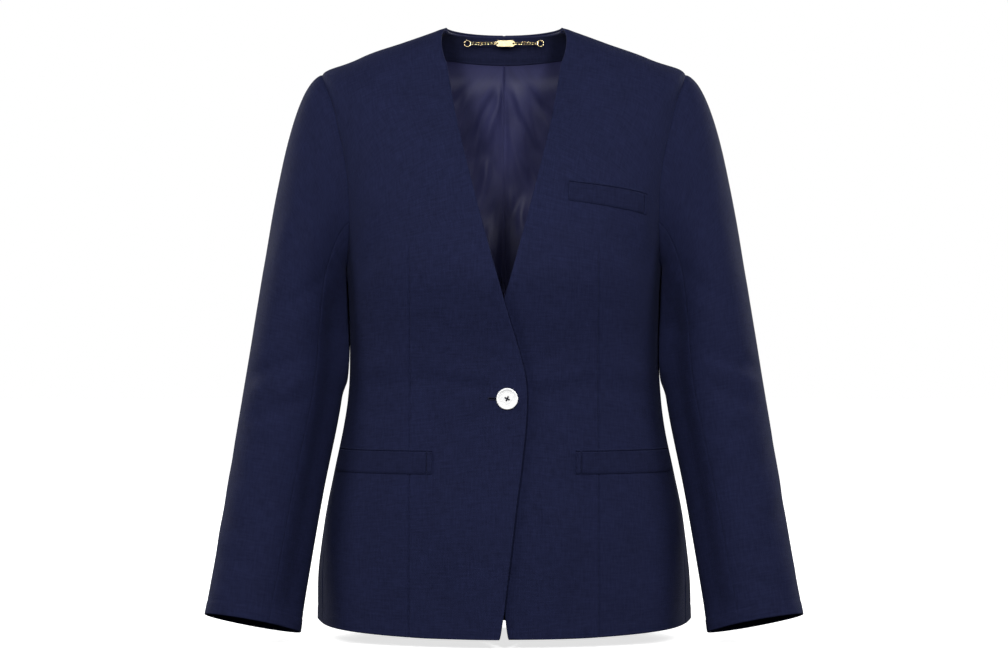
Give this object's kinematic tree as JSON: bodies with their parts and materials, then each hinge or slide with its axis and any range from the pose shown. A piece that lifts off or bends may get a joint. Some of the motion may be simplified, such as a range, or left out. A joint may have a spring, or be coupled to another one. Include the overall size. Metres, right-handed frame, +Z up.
{
  "type": "collarless one-button blazer",
  "caption": "Collarless V-neck blazer with a single button, darts, welt pockets and open hem and cuffs, filled out as worn.",
  "frame": {"origin": "midway between the two high shoulder points, where the shoulder seams meet the neck", "axes": "+X to the wearer's left, +Y to the wearer's back, +Z up; the garment hangs below the origin"},
  "size_m": [0.6456, 0.2514, 0.6629],
  "materials": {
    "cloth": "matt navy linen-blend plain weave",
    "facing": "matt navy linen-blend plain weave, inside the neck",
    "lining": "navy-violet satin lining",
    "button": "white pearly shell look with a raised rim",
    "chain": "polished pale gold"
  },
  "bodies": {
    "root": {"front_left": "cloth", "front_right": "cloth", "back_left": "cloth", "back_right": "cloth", "sleeve_left_upper": "cloth", "sleeve_left_under": "cloth", "sleeve_right_upper": "cloth", "sleeve_right_under": "cloth", "hip_welt_left": "cloth", "hip_welt_right": "cloth", "breast_welt": "cloth", "neck_facing": "facing", "lining_left": "lining", "lining_right": "lining", "button": "button", "ring_left": "chain", "ring_right": "chain", "plate": "chain", "link_left_1": "chain", "link_left_2": "chain", "link_left_3": "chain", "link_left_4": "chain", "link_left_5": "chain", "link_left_6": "chain", "link_left_7": "chain", "link_left_8": "chain", "link_left_9": "chain", "link_right_1": "chain", "link_right_2": "chain", "link_right_3": "chain", "link_right_4": "chain", "link_right_5": "chain", "link_right_6": "chain", "link_right_7": "chain", "link_right_8": "chain", "link_right_9": "chain"}
  },
  "joints": []
}
